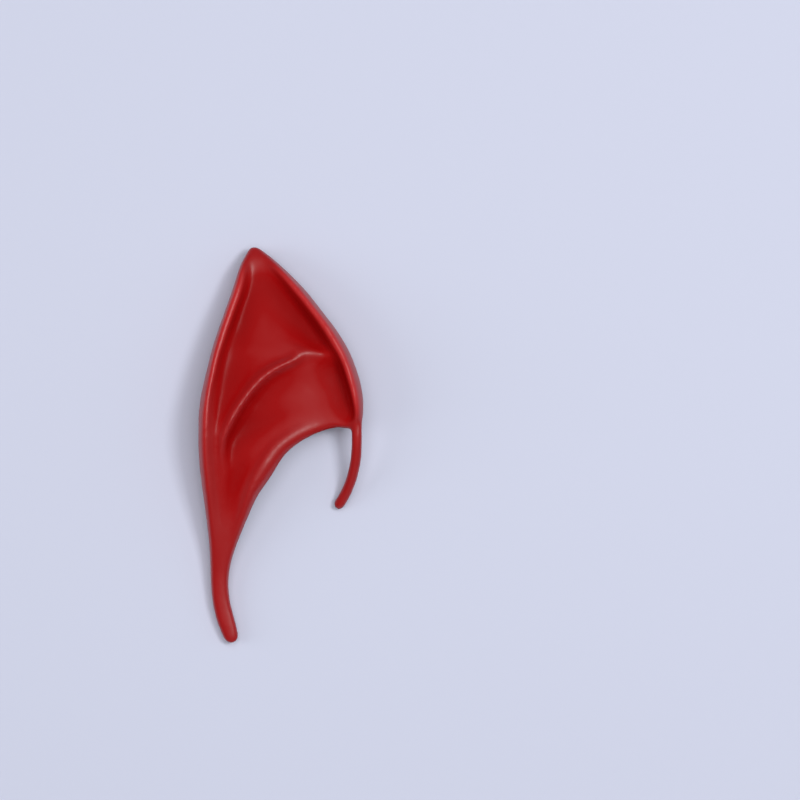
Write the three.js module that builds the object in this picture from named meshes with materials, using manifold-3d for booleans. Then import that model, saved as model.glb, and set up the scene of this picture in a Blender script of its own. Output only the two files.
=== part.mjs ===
// A pointed elf ear tip for a right ear: one soft latex moulding, open at the back.
// It lies on its back, with its carved face up (+Z), its point at +Y and its hooked front side at +X.
// The wearer's own ear goes in at the back.
// The hook holds in front of that ear, and the tail runs down behind it.
import * as THREE from "three";
import { mergeVertices } from "three/addons/utils/BufferGeometryUtils.js";
import Module from "manifold-3d";

const wasm = await Module();
wasm.setup();

// Driving dimensions, in millimetres
const LENGTH = 120; // from the point to the end of the tail
const WIDTH = 50; // from the back edge to the front edge
const DEPTH = 18; // from the table to the highest rim
const WALL = 1.4; // latex skin round the pocket
const BACK_RIM = 4.4; // back edge to the foot of the rolled rim beside it
const FRONT_RIM = 5.3; // front edge to the foot of the rolled rim beside it
const FOLD_HALF = 2.6; // crest of the inner fold to its foot
const FLANGE = 5; // strip that stays along the back edge, beside the mouth
const HOOK_WIDTH = 3.6;
const TIP_ROUNDING = 1.2; // length of the rounded end past the first section
const TIP_LEAN = THREE.MathUtils.degToRad(42); // slope of the sides where that end begins
const TAIL_ROUNDING = 2.8; // length of the rounded end past the last section
const RING_PITCH = 2.2; // spacing of the rings that the moulding is built from
const CUT_MARGIN = 3; // how far a cutting solid runs past what it cuts

// Each section crosses the ear from its back edge, over the inner fold and the hollow, to its front edge.
// X is a share of WIDTH from the back edge, and Y a share of LENGTH from the point.
const PLAN_COLUMNS = ["backX", "backY", "foldX", "foldY", "hollowX", "hollowY", "frontX", "frontY"];
const PLAN = [
  [0.298, 0.0085, 0.332, 0.0085, 0.346, 0.0085, 0.384, 0.0085],
  [0.264, 0.034, 0.338, 0.034, 0.362, 0.034, 0.462, 0.034],
  [0.24, 0.06, 0.348, 0.06, 0.388, 0.06, 0.53, 0.06],
  [0.207, 0.105, 0.37, 0.105, 0.44, 0.105, 0.636, 0.105],
  [0.162, 0.16, 0.41, 0.161, 0.52, 0.161, 0.744, 0.16],
  [0.122, 0.208, 0.49, 0.211, 0.62, 0.21, 0.832, 0.208],
  [0.098, 0.239, 0.56, 0.245, 0.69, 0.25, 0.895, 0.25],
  [0.083, 0.259, 0.612, 0.262, 0.765, 0.2695, 0.925, 0.275],
  [0.069, 0.28, 0.6, 0.276, 0.795, 0.294, 0.956, 0.307],
  [0.056, 0.302, 0.545, 0.289, 0.8, 0.32, 0.979, 0.338],
  [0.043, 0.326, 0.435, 0.314, 0.8, 0.343, 0.993, 0.368],
  [0.028, 0.351, 0.345, 0.348, 0.795, 0.361, 1, 0.396],
  [0.015, 0.376, 0.28, 0.382, 0.785, 0.375, 1, 0.416],
  [0.008, 0.4, 0.235, 0.412, 0.765, 0.387, 0.99, 0.438],
  [0.003, 0.422, 0.2, 0.438, 0.73, 0.398, 0.935, 0.457],
  [0.001, 0.443, 0.175, 0.46, 0.665, 0.409, 0.858, 0.454],
  [0, 0.464, 0.155, 0.481, 0.575, 0.423, 0.75, 0.463],
  [0, 0.487, 0.145, 0.504, 0.47, 0.446, 0.648, 0.483],
  [0.001, 0.514, 0.145, 0.53, 0.365, 0.482, 0.538, 0.517],
  [0.006, 0.549, 0.15, 0.56, 0.28, 0.53, 0.446, 0.574],
  [0.018, 0.594, 0.153, 0.604, 0.232, 0.59, 0.36, 0.625],
  [0.034, 0.643, 0.15, 0.653, 0.21, 0.65, 0.302, 0.675],
  [0.049, 0.695, 0.148, 0.702, 0.19, 0.703, 0.262, 0.713],
  [0.062, 0.755, 0.138, 0.759, 0.165, 0.76, 0.214, 0.765],
  [0.068, 0.82, 0.124, 0.821, 0.143, 0.822, 0.18, 0.823],
  [0.078, 0.885, 0.131, 0.884, 0.149, 0.883, 0.183, 0.882],
  [0.104, 0.938, 0.159, 0.934, 0.177, 0.932, 0.213, 0.93],
  [0.142, 0.977, 0.189, 0.9725, 0.205, 0.971, 0.235, 0.968],
];
// The same sections' heights as shares of DEPTH, and the front rim's width as a share of FRONT_RIM.
// Crests lie at a share of their rim's width, in from the edge.
// A roll of 1 gives a rim a steep inner lip, and 0 lets it run out softly.
const HEIGHT_COLUMNS = [
  "base", "backTop", "trough", "fold", "hollow", "deep", "frontTop", "edge",
  "backCrest", "backRoll", "rim", "frontCrest", "frontRoll",
];
const HEIGHTS = [
  [0.13, 0.33, 0.335, 0.34, 0.335, 0.335, 0.33, 0.22, 0.4, 0, 0.8, 0.4, 0],
  [0.04, 0.46, 0.43, 0.425, 0.425, 0.425, 0.46, 0.21, 0.35, 0.1, 0.9, 0.35, 0.1],
  [0.01, 0.57, 0.45, 0.44, 0.435, 0.43, 0.575, 0.2, 0.32, 0.4, 1, 0.34, 0.3],
  [0, 0.68, 0.465, 0.455, 0.445, 0.435, 0.69, 0.22, 0.3, 0.7, 1, 0.34, 0.5],
  [0, 0.765, 0.495, 0.485, 0.47, 0.445, 0.78, 0.25, 0.3, 0.8, 1, 0.36, 0.6],
  [0, 0.82, 0.54, 0.53, 0.51, 0.475, 0.84, 0.28, 0.3, 0.8, 1, 0.38, 0.7],
  [0, 0.845, 0.595, 0.615, 0.595, 0.545, 0.855, 0.3, 0.32, 0.7, 1, 0.42, 0.8],
  [0, 0.87, 0.63, 0.69, 0.66, 0.62, 0.865, 0.31, 0.33, 0.6, 1, 0.46, 0.8],
  [0, 0.895, 0.65, 0.725, 0.61, 0.555, 0.875, 0.33, 0.36, 0.5, 0.98, 0.5, 0.9],
  [0, 0.92, 0.67, 0.765, 0.605, 0.53, 0.875, 0.35, 0.4, 0.4, 0.94, 0.52, 1],
  [0, 0.945, 0.7, 0.825, 0.61, 0.53, 0.865, 0.38, 0.44, 0.25, 0.88, 0.54, 1],
  [0, 0.965, 0.74, 0.87, 0.615, 0.535, 0.845, 0.41, 0.47, 0.1, 0.83, 0.54, 1],
  [0, 0.985, 0.78, 0.905, 0.615, 0.545, 0.81, 0.44, 0.5, 0, 0.72, 0.52, 1],
  [0, 1, 0.815, 0.93, 0.615, 0.555, 0.745, 0.48, 0.5, 0, 0.6, 0.5, 0.9],
  [0.01, 1, 0.84, 0.94, 0.615, 0.56, 0.61, 0.5, 0.5, 0, 0.55, 0.55, 0.5],
  [0.02, 0.99, 0.85, 0.93, 0.615, 0.57, 0.565, 0.47, 0.5, 0, 0.9, 0.6, 0],
  [0.04, 0.97, 0.845, 0.905, 0.625, 0.59, 0.6, 0.48, 0.5, 0, 1.2, 0.64, 0],
  [0.06, 0.945, 0.82, 0.86, 0.645, 0.615, 0.665, 0.5, 0.5, 0, 1.5, 0.7, 0],
  [0.08, 0.905, 0.785, 0.8, 0.675, 0.655, 0.73, 0.53, 0.5, 0, 1.6, 0.72, 0],
  [0.1, 0.85, 0.735, 0.74, 0.685, 0.675, 0.78, 0.53, 0.5, 0, 1.4, 0.7, 0],
  [0.11, 0.77, 0.67, 0.665, 0.64, 0.635, 0.74, 0.48, 0.5, 0, 1.1, 0.65, 0],
  [0.1, 0.665, 0.595, 0.59, 0.575, 0.575, 0.635, 0.4, 0.5, 0, 0.9, 0.6, 0],
  [0.08, 0.555, 0.52, 0.52, 0.515, 0.515, 0.535, 0.32, 0.5, 0, 0.8, 0.6, 0],
  [0.035, 0.435, 0.44, 0.445, 0.44, 0.435, 0.425, 0.23, 0.5, 0, 0.6, 0.6, 0],
  [0.005, 0.335, 0.35, 0.355, 0.35, 0.345, 0.33, 0.16, 0.5, 0, 0.5, 0.6, 0],
  [0, 0.275, 0.285, 0.29, 0.285, 0.28, 0.27, 0.13, 0.5, 0, 0.5, 0.6, 0],
  [0, 0.24, 0.25, 0.255, 0.25, 0.245, 0.235, 0.12, 0.5, 0, 0.5, 0.6, 0],
  [0, 0.21, 0.22, 0.225, 0.22, 0.215, 0.205, 0.11, 0.5, 0, 0.5, 0.6, 0],
];
const SECTIONS = PLAN.map((places, i) => ({
  ...named(PLAN_COLUMNS, places),
  ...named(HEIGHT_COLUMNS, HEIGHTS[i]),
}));
const FACE_COLUMNS = ["backTop", "trough", "fold", "hollow", "deep", "frontTop"];
const FOLD_LINE = new THREE.CatmullRomCurve3(SECTIONS.map((row) => planPoint(row.foldX, row.foldY)));

// The mouth in the back, section by section. at is a place in the list of sections, counted from 0.
// Margins are shares of FLANGE, in from each edge, and heights are shares of DEPTH.
const MOUTH_COLUMNS = ["at", "backMargin", "frontMargin", "backHeight", "frontHeight"];
const MOUTH = [
  [5.7, 3.6, 3.6, 0.28, 0.28],
  [6.2, 2.8, 2.8, 0.28, 0.28],
  [7, 2.1, 2.1, 0.29, 0.29],
  [8, 1.6, 1.55, 0.31, 0.3],
  [9, 1.3, 1.25, 0.33, 0.33],
  [10, 1.1, 1.05, 0.34, 0.36],
  [11, 1, 0.9, 0.35, 0.39],
  [12, 1, 0.8, 0.36, 0.42],
  [13, 1, 0.6, 0.37, 0.44],
  [14, 1, -0.5, 0.37, 0.45],
  [15, 1, -0.5, 0.37, 0.43],
  [16, 1, -0.5, 0.37, 0.44],
  [17, 1, -0.5, 0.37, 0.46],
  [18, 1, -0.5, 0.37, 0.49],
  [19, 1, -0.5, 0.37, 0.49],
  [20, 0.95, -0.5, 0.34, 0.44],
  [21, 0.85, -0.5, 0.3, 0.36],
  [22, 0.7, -0.5, 0.24, 0.28],
  [22.7, 0.6, -0.5, 0.19, 0.21],
].map((row) => named(MOUTH_COLUMNS, row));

const CAVITY_SECTIONS = [3, 22.9]; // places in the list of sections between which the moulding is hollow

// The hook's centre line, with X and Y as above. Height is a share of DEPTH and width a share of HOOK_WIDTH.
const HOOK_COLUMNS = ["x", "y", "height", "width"];
const HOOK = [
  [0.976, 0.421, 0.56, 0.55],
  [0.963, 0.443, 0.58, 0.95],
  [0.961, 0.478, 0.56, 1],
  [0.956, 0.53, 0.45, 0.97],
  [0.925, 0.585, 0.28, 0.98],
  [0.886, 0.622, 0.165, 1],
  [0.852, 0.645, 0.105, 1.02],
].map((row) => named(HOOK_COLUMNS, row));

// Where the moulding's profile changes, as shares
const EXTREME_SHARE = 0.42; // height of the back edge's widest line between base and rim
const UNDERSIDE_SHARES = [0.86, 0.62, 0.38, 0.14]; // places of the underside's points, from front to back
const RISE_SHARE = 0.14; // how high the outer two of them lie
const RIM_COLUMNS = ["roll", "upper", "upperDrop", "lower", "lowerDrop"];
const SOFT_RIM = named(RIM_COLUMNS, [0, 0.45, 0.2, 1.2, 0.85]); // places and drops of the inner lip's
const ROLLED_RIM = named(RIM_COLUMNS, [1, 0.58, 0.11, 0.97, 0.95]); // two points, from the crest to the foot
const RIM_SPAN_SHARE = 0.6; // the most of its span that a rim takes up
const RING_MARGIN_SHARE = 0.1; // of the way between two sections, that rings keep from both ends
const FOLD_CLOSING = 0.55; // how much narrower the fold's half gets per millimetre of inset
const LEAST_CROSSING = 0.38; // of the sine of the angle at which a section is taken to cross the fold
const OUTER_STEPS = [2, 3, 3, 3, 2, 1, 2, 3, 3, 2, 1, 1, 2, 3, 3, 3, 3, 2, 2, 2, 2, 3];
const INNER_STEPS = [1, 1, 1, 1, 1, 1, 1, 2, 2, 1, 1, 1, 1, 1, 1, 1, 1, 2, 2, 2, 2, 2];
const CAP_STEPS = 3;
const CAVITY_END_SHARE = 0.5; // of its height, that the cavity keeps where it ends near the point
const HOOK_SIDES = 12;

function named(columns, row) {
  return Object.fromEntries(columns.map((column, i) => [column, row[i]]));
}

function mix(a, b, share) {
  return a + (b - a) * share;
}

function planPoint(x, y) {
  return new THREE.Vector3((x - 0.5) * WIDTH, (0.5 - y) * LENGTH, 0);
}

function raised(point, height) {
  return point.clone().setZ(height);
}

// A rim over a span: how far in from the edge its points lie, and how far down its inner lip goes.
function rimOver(span, width, crest, roll, inset) {
  const foot = Math.max(Math.min(width, RIM_SPAN_SHARE * (span + inset)) - 2 * inset, 0.1 * width);
  const lip = (name) => mix(SOFT_RIM[name], ROLLED_RIM[name], roll);
  return {
    shoulder: 0.35 * crest * foot,
    crest: crest * foot,
    upper: mix(crest, 1, lip("upper")) * foot,
    upperDrop: lip("upperDrop"),
    lower: Math.min(lip("lower") * foot, 0.8 * span),
    lowerDrop: lip("lowerDrop"),
  };
}

// The named points of one section's closed profile: over the face from back to front, then along its back.
// An inset gives the same profile that far inside the latex.
function profile(row, inset, i) {
  const back = planPoint(row.backX, row.backY);
  const fold = planPoint(row.foldX, row.foldY);
  const dip = planPoint(row.hollowX, row.hollowY);
  const front = planPoint(row.frontX, row.frontY);
  back.addScaledVector(fold.clone().sub(back).normalize(), inset);
  front.addScaledVector(dip.clone().sub(front).normalize(), inset);
  const base = row.base * DEPTH + inset;
  const faceHeights = FACE_COLUMNS.map((name) => row[name] * DEPTH - inset);
  const [backTop, trough, foldTop, hollow, deep, frontTop] = faceHeights;
  const edge = Math.min(Math.max(row.edge * DEPTH, mix(base, frontTop, 0.2)), mix(base, frontTop, 0.8));
  const backSpan = back.distanceTo(fold);
  const dipSpan = dip.distanceTo(fold);
  const frontSpan = front.distanceTo(dip);
  const along = (from, to, distance, height) =>
    raised(from.clone().lerp(to, distance / from.distanceTo(to)), height);
  const backRim = rimOver(backSpan, BACK_RIM, row.backCrest, row.backRoll, inset);
  const frontRim = rimOver(frontSpan, FRONT_RIM * row.rim, row.frontCrest, row.frontRoll, inset);
  const crestWay = FOLD_LINE.getTangent(i / (SECTIONS.length - 1));
  const foldHalf = (from, to) => {
    const crossing = to.clone().sub(from).normalize().cross(crestWay).length();
    return (FOLD_HALF - FOLD_CLOSING * inset) / Math.max(crossing, LEAST_CROSSING);
  };
  const backFold = Math.min(foldHalf(back, fold), 0.5 * (backSpan - backRim.lower));
  const dipFold = Math.min(foldHalf(fold, dip), 0.5 * dipSpan);
  const backExtreme = mix(base, backTop, EXTREME_SHARE);
  const underside = UNDERSIDE_SHARES.map((share, i) => {
    const side = i < UNDERSIDE_SHARES.length / 2 ? edge : backExtreme;
    const rise = i % (UNDERSIDE_SHARES.length - 1) ? 0 : (RISE_SHARE * (side - base)) / EXTREME_SHARE;
    return raised(back.clone().lerp(front, share), base + rise);
  });
  return [
    along(back, fold, 0, backExtreme),
    along(back, fold, backRim.shoulder, mix(backExtreme, backTop, 0.77)),
    along(back, fold, backRim.crest, backTop),
    along(back, fold, backRim.upper, mix(backTop, trough, backRim.upperDrop)),
    along(back, fold, backRim.lower, mix(backTop, trough, backRim.lowerDrop)),
    along(back, fold, mix(backRim.lower, backSpan - backFold, 0.5), trough),
    along(back, fold, backSpan - backFold, mix(trough, foldTop, 0.08)),
    along(back, fold, backSpan - 0.5 * backFold, mix(trough, foldTop, 0.67)),
    along(fold, dip, 0, foldTop),
    along(fold, dip, 0.5 * dipFold, mix(hollow, foldTop, 0.65)),
    along(fold, dip, dipFold, mix(hollow, foldTop, 0.1)),
    along(fold, dip, mix(dipFold, dipSpan, 0.5), mix(hollow, deep, 0.25)),
    along(dip, front, 0, mix(hollow, deep, 0.75)),
    along(front, dip, frontRim.lower, mix(frontTop, deep, frontRim.lowerDrop)),
    along(front, dip, frontRim.upper, mix(frontTop, deep, frontRim.upperDrop)),
    along(front, dip, frontRim.crest, frontTop),
    along(front, dip, frontRim.shoulder, mix(edge, frontTop, 0.74)),
    along(front, dip, 0, edge),
    ...underside,
  ];
}

// Places in the list of sections at which rings are made, about RING_PITCH apart, between two places.
function ringPlaces(net, start, end) {
  const places = [];
  const farEdge = Math.round(net[0].length * 0.75);
  for (let i = 0; i < net.length - 1; i++) {
    const gap = Math.max(net[i][0].distanceTo(net[i + 1][0]), net[i][farEdge].distanceTo(net[i + 1][farEdge]));
    const steps = Math.max(1, Math.round(gap / RING_PITCH));
    for (let k = 0; k < steps; k++) places.push(i + k / steps);
  }
  const least = start + RING_MARGIN_SHARE;
  const most = end - RING_MARGIN_SHARE;
  return [start, ...places.filter((place) => place > least && place < most), end];
}

// A function that gives a closed ring of points at any place along the net.
function ringMaker(net, stepsBetweenPoints) {
  const lines = net[0].map((_, j) => new THREE.CatmullRomCurve3(net.map((points) => points[j])));
  return (place) => {
    const points = lines.map((line) => line.getPoint(place / (net.length - 1)));
    const ring = new THREE.CatmullRomCurve3(points, true, "centripetal");
    return stepsBetweenPoints.flatMap((steps, j) =>
      Array.from({ length: steps }, (_, k) => ring.getPoint((j + k / steps) / points.length)),
    );
  };
}

function centreOf(ring) {
  return ring.reduce((sum, point) => sum.add(point), new THREE.Vector3()).divideScalar(ring.length);
}

// Rings that round off an end, from a ring to the tip that lies the given way from its centre.
// The lean is the slope that the sides already have at the ring, in radians.
function roundedEnd(ring, way, lean) {
  const centre = centreOf(ring);
  return Array.from({ length: CAP_STEPS }, (_, k) => {
    const angle = mix(lean, Math.PI / 2, (k + 1) / (CAP_STEPS + 1));
    const width = Math.cos(angle) / Math.cos(lean);
    const reach = (Math.sin(angle) - Math.sin(lean)) / (1 - Math.sin(lean));
    return ring.map((point) => centre.clone().lerp(point, width).addScaledVector(way, reach));
  });
}

// A closed solid through rings with the same count of points. Its ends close on the two tips.
function loft(rings, firstTip, lastTip) {
  const count = rings[0].length;
  const positions = [...rings.flat(), firstTip, lastTip].flatMap((point) => point.toArray());
  const first = rings.length * count;
  const faces = [];
  for (let j = 0; j < count; j++) {
    const next = (j + 1) % count;
    faces.push(first, j, next);
    faces.push(first + 1, first - count + next, first - count + j);
    for (let i = 0; i < rings.length - 1; i++) {
      const [a, b, c, d] = [i * count + j, i * count + next, (i + 1) * count + j, (i + 1) * count + next];
      faces.push(a, c, d, a, d, b);
    }
  }
  const geometry = new THREE.BufferGeometry();
  geometry.setAttribute("position", new THREE.Float32BufferAttribute(positions, 3));
  geometry.setIndex(faces);
  return geometry;
}

function solid(geometry) {
  const merged = mergeVertices(geometry, 1e-4);
  const made = new wasm.Manifold(
    new wasm.Mesh({
      numProp: 3,
      vertProperties: merged.attributes.position.array,
      triVerts: new Uint32Array(merged.index.array),
    }),
  );
  if (made.volume() < 0) throw new Error("a solid is inside out");
  return made;
}

function geometryOf(made) {
  const mesh = made.getMesh();
  const geometry = new THREE.BufferGeometry();
  geometry.setAttribute("position", new THREE.BufferAttribute(mesh.vertProperties, 3));
  geometry.setIndex(new THREE.BufferAttribute(mesh.triVerts, 1));
  return geometry;
}

// The whole outer form, from the rounded point to the rounded end of the tail, flattened where it rests.
function outerForm() {
  const net = SECTIONS.map((row, i) => profile(row, 0, i));
  const ringAt = ringMaker(net, OUTER_STEPS);
  const body = ringPlaces(net, 0, net.length - 1).map(ringAt);
  const tipWay = new THREE.Vector3(-0.3, 1, -0.1).normalize().multiplyScalar(TIP_ROUNDING);
  const tailWay = new THREE.Vector3(0.3, -1, 0).normalize().multiplyScalar(TAIL_ROUNDING);
  const tip = centreOf(body[0]).add(tipWay);
  const tail = centreOf(body.at(-1)).add(tailWay);
  const tipRings = roundedEnd(body[0], tipWay, TIP_LEAN).reverse();
  const rings = [...tipRings, ...body, ...roundedEnd(body.at(-1), tailWay, 0)];
  rings.flat().forEach((point) => point.setZ(Math.max(point.z, 0)));
  return loft(rings, tip, tail);
}

// The hollow inside, one wall in from the outer form.
function cavity() {
  const net = SECTIONS.map((row, i) => profile(row, WALL, i));
  const rings = ringPlaces(net, ...CAVITY_SECTIONS).map(ringMaker(net, INNER_STEPS));
  rings.flat().forEach((point) => point.setZ(Math.max(point.z, WALL)));
  rings[0].forEach((point) => point.setZ(mix(WALL, point.z, CAVITY_END_SHARE)));
  return loft(rings, centreOf(rings[0]), centreOf(rings.at(-1)));
}

// What is cut away at the back, so that the wearer's ear can go in, and below the front edge past the hook.
function mouth() {
  const lineOf = (points) => new THREE.CatmullRomCurve3(points);
  const [backLine, foldLine, hollowLine, frontLine] = ["back", "fold", "hollow", "front"].map((name) =>
    lineOf(SECTIONS.map((row) => planPoint(row[name + "X"], row[name + "Y"]))),
  );
  const margins = lineOf(MOUTH.map((row) => new THREE.Vector3(row.at, row.backMargin, row.frontMargin)));
  const heights = lineOf(MOUTH.map((row) => new THREE.Vector3(row.at, row.backHeight, row.frontHeight)));
  const steps = 2 * (MOUTH.length - 1);
  const rings = Array.from({ length: steps + 1 }, (_, k) => {
    const margin = margins.getPoint(k / steps);
    const height = heights.getPoint(k / steps);
    const place = margin.x / (SECTIONS.length - 1);
    const back = backLine.getPoint(place);
    const front = frontLine.getPoint(place);
    const backInward = foldLine.getPoint(place).sub(back).normalize();
    const frontInward = hollowLine.getPoint(place).sub(front).normalize();
    back.addScaledVector(backInward, margin.y * FLANGE);
    front.addScaledVector(frontInward, margin.z * FLANGE);
    return [
      raised(back, -CUT_MARGIN),
      raised(back, height.y * DEPTH),
      raised(front, height.z * DEPTH),
      raised(front, -CUT_MARGIN),
    ];
  });
  return loft(rings, centreOf(rings[0]), centreOf(rings.at(-1)));
}

// The hook: a round cord of latex that leaves the lower end of the front rim.
function hook() {
  const points = HOOK.map((row) => raised(planPoint(row.x, row.y), row.height * DEPTH));
  const line = new THREE.CatmullRomCurve3(points);
  const widths = new THREE.CatmullRomCurve3(HOOK.map((row) => new THREE.Vector3(row.width, 0, 0)));
  const steps = Math.round(line.getLength() / RING_PITCH);
  const rings = Array.from({ length: steps + 1 }, (_, k) => {
    const centre = line.getPoint(k / steps);
    const along = line.getTangent(k / steps);
    const side = new THREE.Vector3(0, 0, 1).cross(along).normalize();
    const up = along.clone().cross(side);
    const radius = (widths.getPoint(k / steps).x * HOOK_WIDTH) / 2;
    return Array.from({ length: HOOK_SIDES }, (_, j) => {
      const angle = (-2 * Math.PI * j) / HOOK_SIDES;
      return centre
        .clone()
        .addScaledVector(side, radius * Math.cos(angle))
        .addScaledVector(up, radius * Math.sin(angle));
    });
  });
  const way = line.getTangent(1).multiplyScalar(HOOK_WIDTH / 2);
  const end = points.at(-1).clone().add(way);
  return loft([...rings, ...roundedEnd(rings.at(-1), way, 0)], points[0], end);
}

function earTip() {
  const shell = solid(outerForm()).subtract(solid(cavity())).subtract(solid(mouth()));
  const geometry = geometryOf(shell.add(solid(hook())));
  geometry.computeBoundingBox();
  const size = geometry.boundingBox.getSize(new THREE.Vector3());
  const middle = geometry.boundingBox.getCenter(new THREE.Vector3());
  geometry.translate(-middle.x, -middle.y, -geometry.boundingBox.min.z);
  return geometry.scale(WIDTH / size.x, LENGTH / size.y, DEPTH / size.z);
}

const latex = new THREE.MeshStandardMaterial({ color: 0xa81c1e, roughness: 0.42, metalness: 0 });
const ear = new THREE.Mesh(earTip(), latex);
ear.name = "ear_tip";

const assembly = new THREE.Group();
assembly.add(ear);

export default assembly;
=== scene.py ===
"""A pointed elf ear tip of soft red latex, lying on its back on a pale table.

The moulding is one piece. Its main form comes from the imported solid, and is rounded and finished here.
Lengths are in metres. +Y runs towards the point, +X towards the hook and +Z out of the carved face.
"""

import logging
import math
from dataclasses import dataclass, field
from enum import Enum

import bpy
import numpy as np
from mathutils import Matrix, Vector


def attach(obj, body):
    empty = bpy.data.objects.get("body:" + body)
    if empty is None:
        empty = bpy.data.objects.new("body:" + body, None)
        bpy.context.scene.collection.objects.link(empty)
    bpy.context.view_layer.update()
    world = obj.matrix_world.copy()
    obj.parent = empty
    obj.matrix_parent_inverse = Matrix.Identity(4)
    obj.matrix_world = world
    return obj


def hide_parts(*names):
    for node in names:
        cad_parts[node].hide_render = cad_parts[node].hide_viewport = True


LOG = logging.getLogger("elf_ear_tip")
MM = 0.001
RELIEF = "relief"

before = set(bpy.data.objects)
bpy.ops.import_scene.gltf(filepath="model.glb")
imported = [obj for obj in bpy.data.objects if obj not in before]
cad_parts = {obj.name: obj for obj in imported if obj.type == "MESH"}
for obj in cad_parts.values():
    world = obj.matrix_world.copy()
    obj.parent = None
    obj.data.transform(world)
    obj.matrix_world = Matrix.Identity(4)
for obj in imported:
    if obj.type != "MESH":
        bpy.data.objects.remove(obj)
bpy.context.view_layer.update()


class Body(Enum):
    """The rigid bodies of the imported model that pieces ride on."""

    ROOT = "root"


class Slot(Enum):
    """The record's material slots."""

    LATEX = "latex"


def deselect_all() -> None:
    """Deselects every object and leaves edit mode."""
    if bpy.context.object and bpy.context.object.mode != "OBJECT":
        bpy.ops.object.mode_set(mode="OBJECT")
    bpy.ops.object.select_all(action="DESELECT")


def make_active(piece: bpy.types.Object) -> None:
    """Selects one object alone and makes it the active one.

    Args:
        piece: The object that the next operators act on.
    """
    deselect_all()
    piece.select_set(True)
    bpy.context.view_layer.objects.active = piece


def apply_modifier(piece: bpy.types.Object, kind: str, **settings: object) -> None:
    """Adds a modifier to a piece, sets it and applies it.

    Args:
        piece: The object to change.
        kind: The kind of modifier.
        **settings: Values for the modifier's own properties.
    """
    make_active(piece)
    modifier = piece.modifiers.new(kind.title(), kind)
    for name, value in settings.items():
        setattr(modifier, name, value)
    bpy.ops.object.modifier_apply(modifier=modifier.name)


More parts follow.
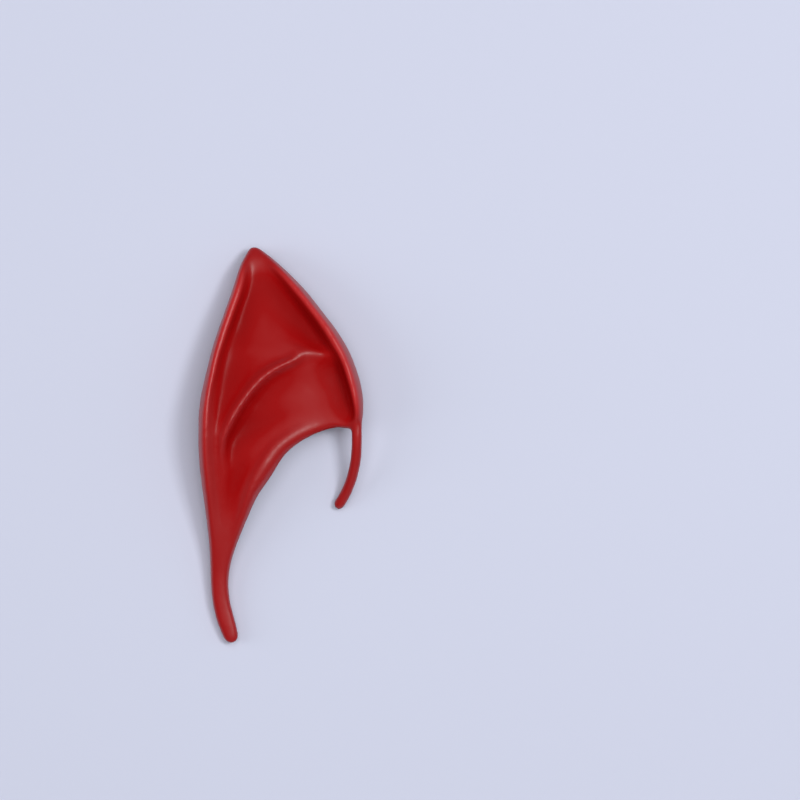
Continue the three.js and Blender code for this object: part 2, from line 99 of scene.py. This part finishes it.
@dataclass(frozen=True)
class LatexFinish:
    """Moulded latex, coloured right through, with a soft satin sheen.

    Attributes:
        base: The latex's own colour, linear RGB.
        pale: Painted light: a paler red on raised parts, standing in for the light that falls on rims and
            ridges.
        deep: Painted shade: a darker red in hollows, standing in for the shade that falls there.
        relief: How far the skin stands out, in millimetres, where it takes the deep colour (painted shade),
            the base colour, still the base colour, and the pale colour (painted light).
        shine: How far it stands out, in millimetres, where it begins to shine and where it shines fully.
        roughness: How matt the skin is, in the hollows and on what shines.
        gloss: How strongly the skin reflects, in the hollows and on what shines.
        cloud_size: How many clouds of uneven colour go into a metre.
        cloud_lift: The most that a cloud adds to how far the skin stands out, in millimetres.
        grain_size: How many grains of the mould's texture go into a metre.
        grain_depth: How deep the grains are.
        grain_strength: How much of that depth shows.
    """

    base: tuple[float, float, float] = (0.335, 0.0037, 0.0042)
    # Painted light: a paler red on the raised parts, for the light that falls on them.
    pale: tuple[float, float, float] = (0.48, 0.014, 0.015)
    # Painted shade: a darker red in the hollows, for the shade that falls there.
    deep: tuple[float, float, float] = (0.25, 0.0018, 0.0022)
    relief: tuple[float, float, float, float] = (-1.0, 0.4, 1.9, 2.9)
    shine: tuple[float, float] = (0.1, 0.9)
    roughness: tuple[float, float] = (0.3, 0.4)
    gloss: tuple[float, float] = (0.06, 0.62)
    cloud_size: float = 55.0
    cloud_lift: float = 0.8
    grain_size: float = 1400.0
    grain_depth: float = 0.06 * MM
    grain_strength: float = 0.16

    def material(self) -> bpy.types.Material:
        """Makes the material.

        Returns:
            The material, which follows the object's own coordinates and the skin's relief.
        """
        material = bpy.data.materials.new("red_latex")
        material.use_nodes = True
        nodes, links = material.node_tree.nodes, material.node_tree.links
        shader = nodes["Principled BSDF"]
        shader.inputs["IOR"].default_value = 1.5
        place = nodes.new("ShaderNodeTexCoord").outputs["Object"]

        relief = nodes.new("ShaderNodeAttribute")
        relief.attribute_name = RELIEF
        cloudy = nodes.new("ShaderNodeMath")
        cloudy.operation = "MULTIPLY_ADD"
        links.new(self._noise(material, place, self.cloud_size, 2.0), cloudy.inputs[0])
        cloudy.inputs[1].default_value = self.cloud_lift
        links.new(relief.outputs["Fac"], cloudy.inputs[2])
        raised = cloudy.outputs["Value"]

        # Painted shade and light: the colour runs from a darker red in the hollows to a paler red on the
        # raised parts, standing in for the shade and light that fall there. The clouds add uneven colour at
        # random.
        lowest, highest = self.relief[0], self.relief[-1]
        painted_shade_light_ramp = nodes.new("ShaderNodeValToRGB")
        painted_shade_light_ramp.color_ramp.elements[0].color = (*self.deep, 1.0)
        painted_shade_light_ramp.color_ramp.elements[1].color = (*self.pale, 1.0)
        for height in self.relief[1:-1]:
            stop = painted_shade_light_ramp.color_ramp.elements.new((height - lowest) / (highest - lowest))
            stop.color = (*self.base, 1.0)
        links.new(self._range(material, raised, (lowest, highest), (0.0, 1.0)), painted_shade_light_ramp.inputs["Fac"])
        links.new(painted_shade_light_ramp.outputs["Color"], shader.inputs["Base Color"])
        links.new(self._range(material, raised, self.shine, self.gloss), shader.inputs["Specular IOR Level"])
        links.new(self._range(material, raised, self.shine, self.roughness), shader.inputs["Roughness"])

        bump = nodes.new("ShaderNodeBump")
        bump.inputs["Strength"].default_value = self.grain_strength
        bump.inputs["Distance"].default_value = self.grain_depth
        links.new(self._noise(material, place, self.grain_size, 3.0), bump.inputs["Height"])
        links.new(bump.outputs["Normal"], shader.inputs["Normal"])
        return material

    @staticmethod
    def _range(
        material: bpy.types.Material,
        value: bpy.types.NodeSocket,
        source: tuple[float, float],
        target: tuple[float, float],
    ) -> bpy.types.NodeSocket:
        """Carries a value over from one range to another, and holds it within that range.

        Args:
            material: The material to add the step to.
            value: The socket with the value.
            source: The range that the value comes from.
            target: The range that it goes to.

        Returns:
            The socket with the new value.
        """
        step = material.node_tree.nodes.new("ShaderNodeMapRange")
        step.inputs["From Min"].default_value, step.inputs["From Max"].default_value = source
        step.inputs["To Min"].default_value, step.inputs["To Max"].default_value = target
        material.node_tree.links.new(value, step.inputs["Value"])
        return step.outputs["Result"]

    @staticmethod
    def _noise(
        material: bpy.types.Material,
        place: bpy.types.NodeSocket,
        scale: float,
        detail: float,
    ) -> bpy.types.NodeSocket:
        """Adds a noise pattern to a material.

        Args:
            material: The material to add it to.
            place: The coordinates that it reads.
            scale: How many of its features go into a metre.
            detail: How many finer layers it has.

        Returns:
            The socket with the pattern's value.
        """
        noise = material.node_tree.nodes.new("ShaderNodeTexNoise")
        noise.inputs["Scale"].default_value = scale
        noise.inputs["Detail"].default_value = detail
        noise.inputs["Roughness"].default_value = 0.5
        material.node_tree.links.new(place, noise.inputs["Vector"])
        return noise.outputs["Fac"]


@dataclass
class EarTip:
    """The moulding: pointed shell with rolled rims, inner fold, arched free edge, hook and tail.

    Attributes:
        node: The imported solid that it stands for.
        weld: Points nearer than this are one.
        fold_limit: The most that two triangles may lean against each other and still become one face.
        shape_limit: The most that such a face's corners may be off a right angle.
        voxel: The size of the cells that the surface is rebuilt in.
        relax_steps: How many times the surface is relaxed.
        unevenness: How far the skin wanders from its true form.
        wave_size: How wide the waves of that unevenness are.
        relief_steps: How many times the heights are averaged over the skin around each point.
        finish: What it is made of.
    """

    node: str = "ear_tip"
    weld: float = 0.002 * MM
    fold_limit: float = math.radians(40)
    shape_limit: float = math.radians(60)
    voxel: float = 0.39 * MM
    relax_steps: int = 16
    unevenness: float = 0.1 * MM
    wave_size: float = 9 * MM
    relief_steps: int = 360
    finish: LatexFinish = field(default_factory=LatexFinish)

    def build(self) -> bpy.types.Object:
        """Builds and dresses the moulding.

        Returns:
            The finished piece.
        """
        ear = self._main_form()
        self._round_off(ear)
        self._uneven(ear)
        self._settle(ear)
        self._mark_relief(ear)
        ear.data.materials.clear()
        ear.data.materials.append(self.finish.material())
        make_active(ear)
        bpy.ops.object.shade_smooth()
        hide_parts(self.node)
        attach(ear, Body.ROOT.value)
        return ear

    def _main_form(self) -> bpy.types.Object:
        """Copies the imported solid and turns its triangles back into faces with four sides.

        Returns:
            The copy, as its own object with its own mesh.
        """
        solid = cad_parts[self.node]
        ear = solid.copy()
        ear.data = solid.data.copy()
        ear.name = "latex_ear"
        ear.data.name = "latex_ear"
        bpy.context.scene.collection.objects.link(ear)
        make_active(ear)
        bpy.ops.object.mode_set(mode="EDIT")
        bpy.ops.mesh.select_all(action="SELECT")
        bpy.ops.mesh.remove_doubles(threshold=self.weld)
        bpy.ops.mesh.tris_convert_to_quads(face_threshold=self.fold_limit, shape_threshold=self.shape_limit)
        bpy.ops.object.mode_set(mode="OBJECT")
        return ear

    def _round_off(self, ear: bpy.types.Object) -> None:
        """Rounds the facets, rebuilds the skin in even faces and relaxes it.

        Args:
            ear: The moulding.
        """
        apply_modifier(ear, "SUBSURF", levels=1, render_levels=1)
        apply_modifier(ear, "REMESH", mode="VOXEL", voxel_size=self.voxel, adaptivity=0.0)
        apply_modifier(
            ear,
            "CORRECTIVE_SMOOTH",
            factor=0.5,
            iterations=self.relax_steps,
            smooth_type="SIMPLE",
            use_only_smooth=True,
        )

    def _uneven(self, ear: bpy.types.Object) -> None:
        """Gives the skin the slight unevenness of poured latex.

        Args:
            ear: The moulding.
        """
        waves = bpy.data.textures.new("poured_waves", "CLOUDS")
        waves.noise_scale = self.wave_size
        waves.noise_depth = 2
        apply_modifier(
            ear,
            "DISPLACE",
            texture=waves,
            texture_coords="LOCAL",
            strength=2 * self.unevenness,
            mid_level=0.5,
        )

    def _settle(self, ear: bpy.types.Object) -> None:
        """Flattens the back where it rests, so that nothing reaches below the table.

        Args:
            ear: The moulding.
        """
        for vertex in ear.data.vertices:
            vertex.co.z = max(vertex.co.z, 0.0)

    def _mark_relief(self, ear: bpy.types.Object) -> None:
        """Stores how many millimetres each point stands out of the skin around it, for the finish's painted
        shade and light and its shine.

        Args:
            ear: The moulding.
        """
        mesh = ear.data
        count = len(mesh.vertices)
        places = np.empty(3 * count)
        mesh.vertices.foreach_get("co", places)
        heights = places[2::3]
        ends = np.empty(2 * len(mesh.edges), dtype=np.int32)
        mesh.edges.foreach_get("vertices", ends)
        here, there = ends[0::2], ends[1::2]
        neighbours = np.bincount(ends, minlength=count)
        around = heights.copy()
        for _ in range(self.relief_steps):
            total = np.bincount(here, weights=around[there], minlength=count)
            total += np.bincount(there, weights=around[here], minlength=count)
            around = total / neighbours
        relief = mesh.attributes.new(RELIEF, "FLOAT", "POINT")
        relief.data.foreach_set("value", (heights - around) / MM)


@dataclass(frozen=True)
class SoftLight:
    """A rectangular light aimed at the object.

    Attributes:
        name: The light's name.
        place: Where it stands.
        size: Its width and height.
        watts: Its power.
        glints: Whether it shows as a highlight, or only lights the surface evenly.
    """

    name: str
    place: tuple[float, float, float]
    size: tuple[float, float]
    watts: float
    glints: bool = True

    def build(self) -> None:
        """Adds the light to the scene."""
        data = bpy.data.lights.new(self.name, "AREA")
        data.shape = "RECTANGLE"
        data.size, data.size_y = self.size
        data.energy = self.watts
        lamp = bpy.data.objects.new(self.name, data)
        lamp.location = self.place
        lamp.rotation_euler = (-Vector(self.place)).to_track_quat("-Z", "Y").to_euler()
        lamp.visible_glossy = self.glints
        bpy.context.scene.collection.objects.link(lamp)


LIGHTS = (
    SoftLight("overhead", (0.1, 0.2, 1.3), (1.3, 1.3), 11.8, glints=False),
    SoftLight("key", (0.6, 0.2, 1.1), (0.3, 0.3), 5.0),
    SoftLight("left_fill", (-0.95, 0.0, 0.5), (0.5, 0.8), 3.2, glints=False),
    SoftLight("right_fill", (0.95, 0.1, 0.5), (0.5, 0.8), 0.8, glints=False),
    SoftLight("low_fill", (0.05, -0.95, 0.5), (0.8, 0.5), 0.5),
)


@dataclass(frozen=True)
class Studio:
    """The pale table, the soft light and the camera straight above.

    Attributes:
        view_centre: Where the middle of the picture falls on the table.
        view_width: How much of the table the picture is wide.
        lens: Focal length in millimetres.
        sensor: Sensor width in millimetres.
        table_size: How long and wide the table is.
        table_colour: The table's colour, linear RGB.
        surround_colour: The colour of the light from all round, linear RGB.
        surround_strength: How strong that light is.
    """

    view_centre: tuple[float, float] = (35.8 * MM, 13.6 * MM)
    view_width: float = 242.4 * MM
    lens: float = 200.0
    sensor: float = 36.0
    table_size: float = 3.0
    table_colour: tuple[float, float, float] = (0.61, 0.635, 0.77)
    surround_colour: tuple[float, float, float] = (0.9, 0.93, 1.0)
    surround_strength: float = 0.12

    def build(self) -> None:
        """Sets up the table, the lights and the camera."""
        self._table()
        self._lights()
        self._camera()
        scene = bpy.context.scene
        scene.view_settings.view_transform = "Standard"
        scene.view_settings.look = "None"

    def _table(self) -> None:
        """Adds the plain pale table that the ear tip lies on."""
        deselect_all()
        bpy.ops.mesh.primitive_plane_add(size=self.table_size, location=(0.0, 0.0, 0.0))
        table = bpy.context.object
        table.name = "table"
        material = bpy.data.materials.new("pale_table")
        material.use_nodes = True
        shader = material.node_tree.nodes["Principled BSDF"]
        shader.inputs["Base Color"].default_value = (*self.table_colour, 1.0)
        shader.inputs["Roughness"].default_value = 0.85
        shader.inputs["Specular IOR Level"].default_value = 0.2
        table.data.materials.append(material)

    def _lights(self) -> None:
        """Adds the surround and every soft light."""
        world = bpy.data.worlds.new("surround")
        bpy.context.scene.world = world
        world.use_nodes = True
        background = world.node_tree.nodes["Background"]
        background.inputs["Color"].default_value = (*self.surround_colour, 1.0)
        background.inputs["Strength"].default_value = self.surround_strength
        for light in LIGHTS:
            light.build()

    def _camera(self) -> None:
        """Adds the camera, straight above, with the point of the ear at the top."""
        data = bpy.data.cameras.new("camera")
        data.lens = self.lens
        data.sensor_width = self.sensor
        camera = bpy.data.objects.new("camera", data)
        camera.location = (*self.view_centre, self.view_width * self.lens / self.sensor)
        bpy.context.scene.collection.objects.link(camera)
        bpy.context.scene.camera = camera


def main() -> None:
    """Builds the ear tip and its studio."""
    logging.basicConfig(level=logging.INFO, format="%(name)s: %(message)s")
    ear = EarTip().build()
    LOG.info("%s: %d faces", ear.name, len(ear.data.polygons))
    Studio().build()


if __name__ == "__main__":
    main()
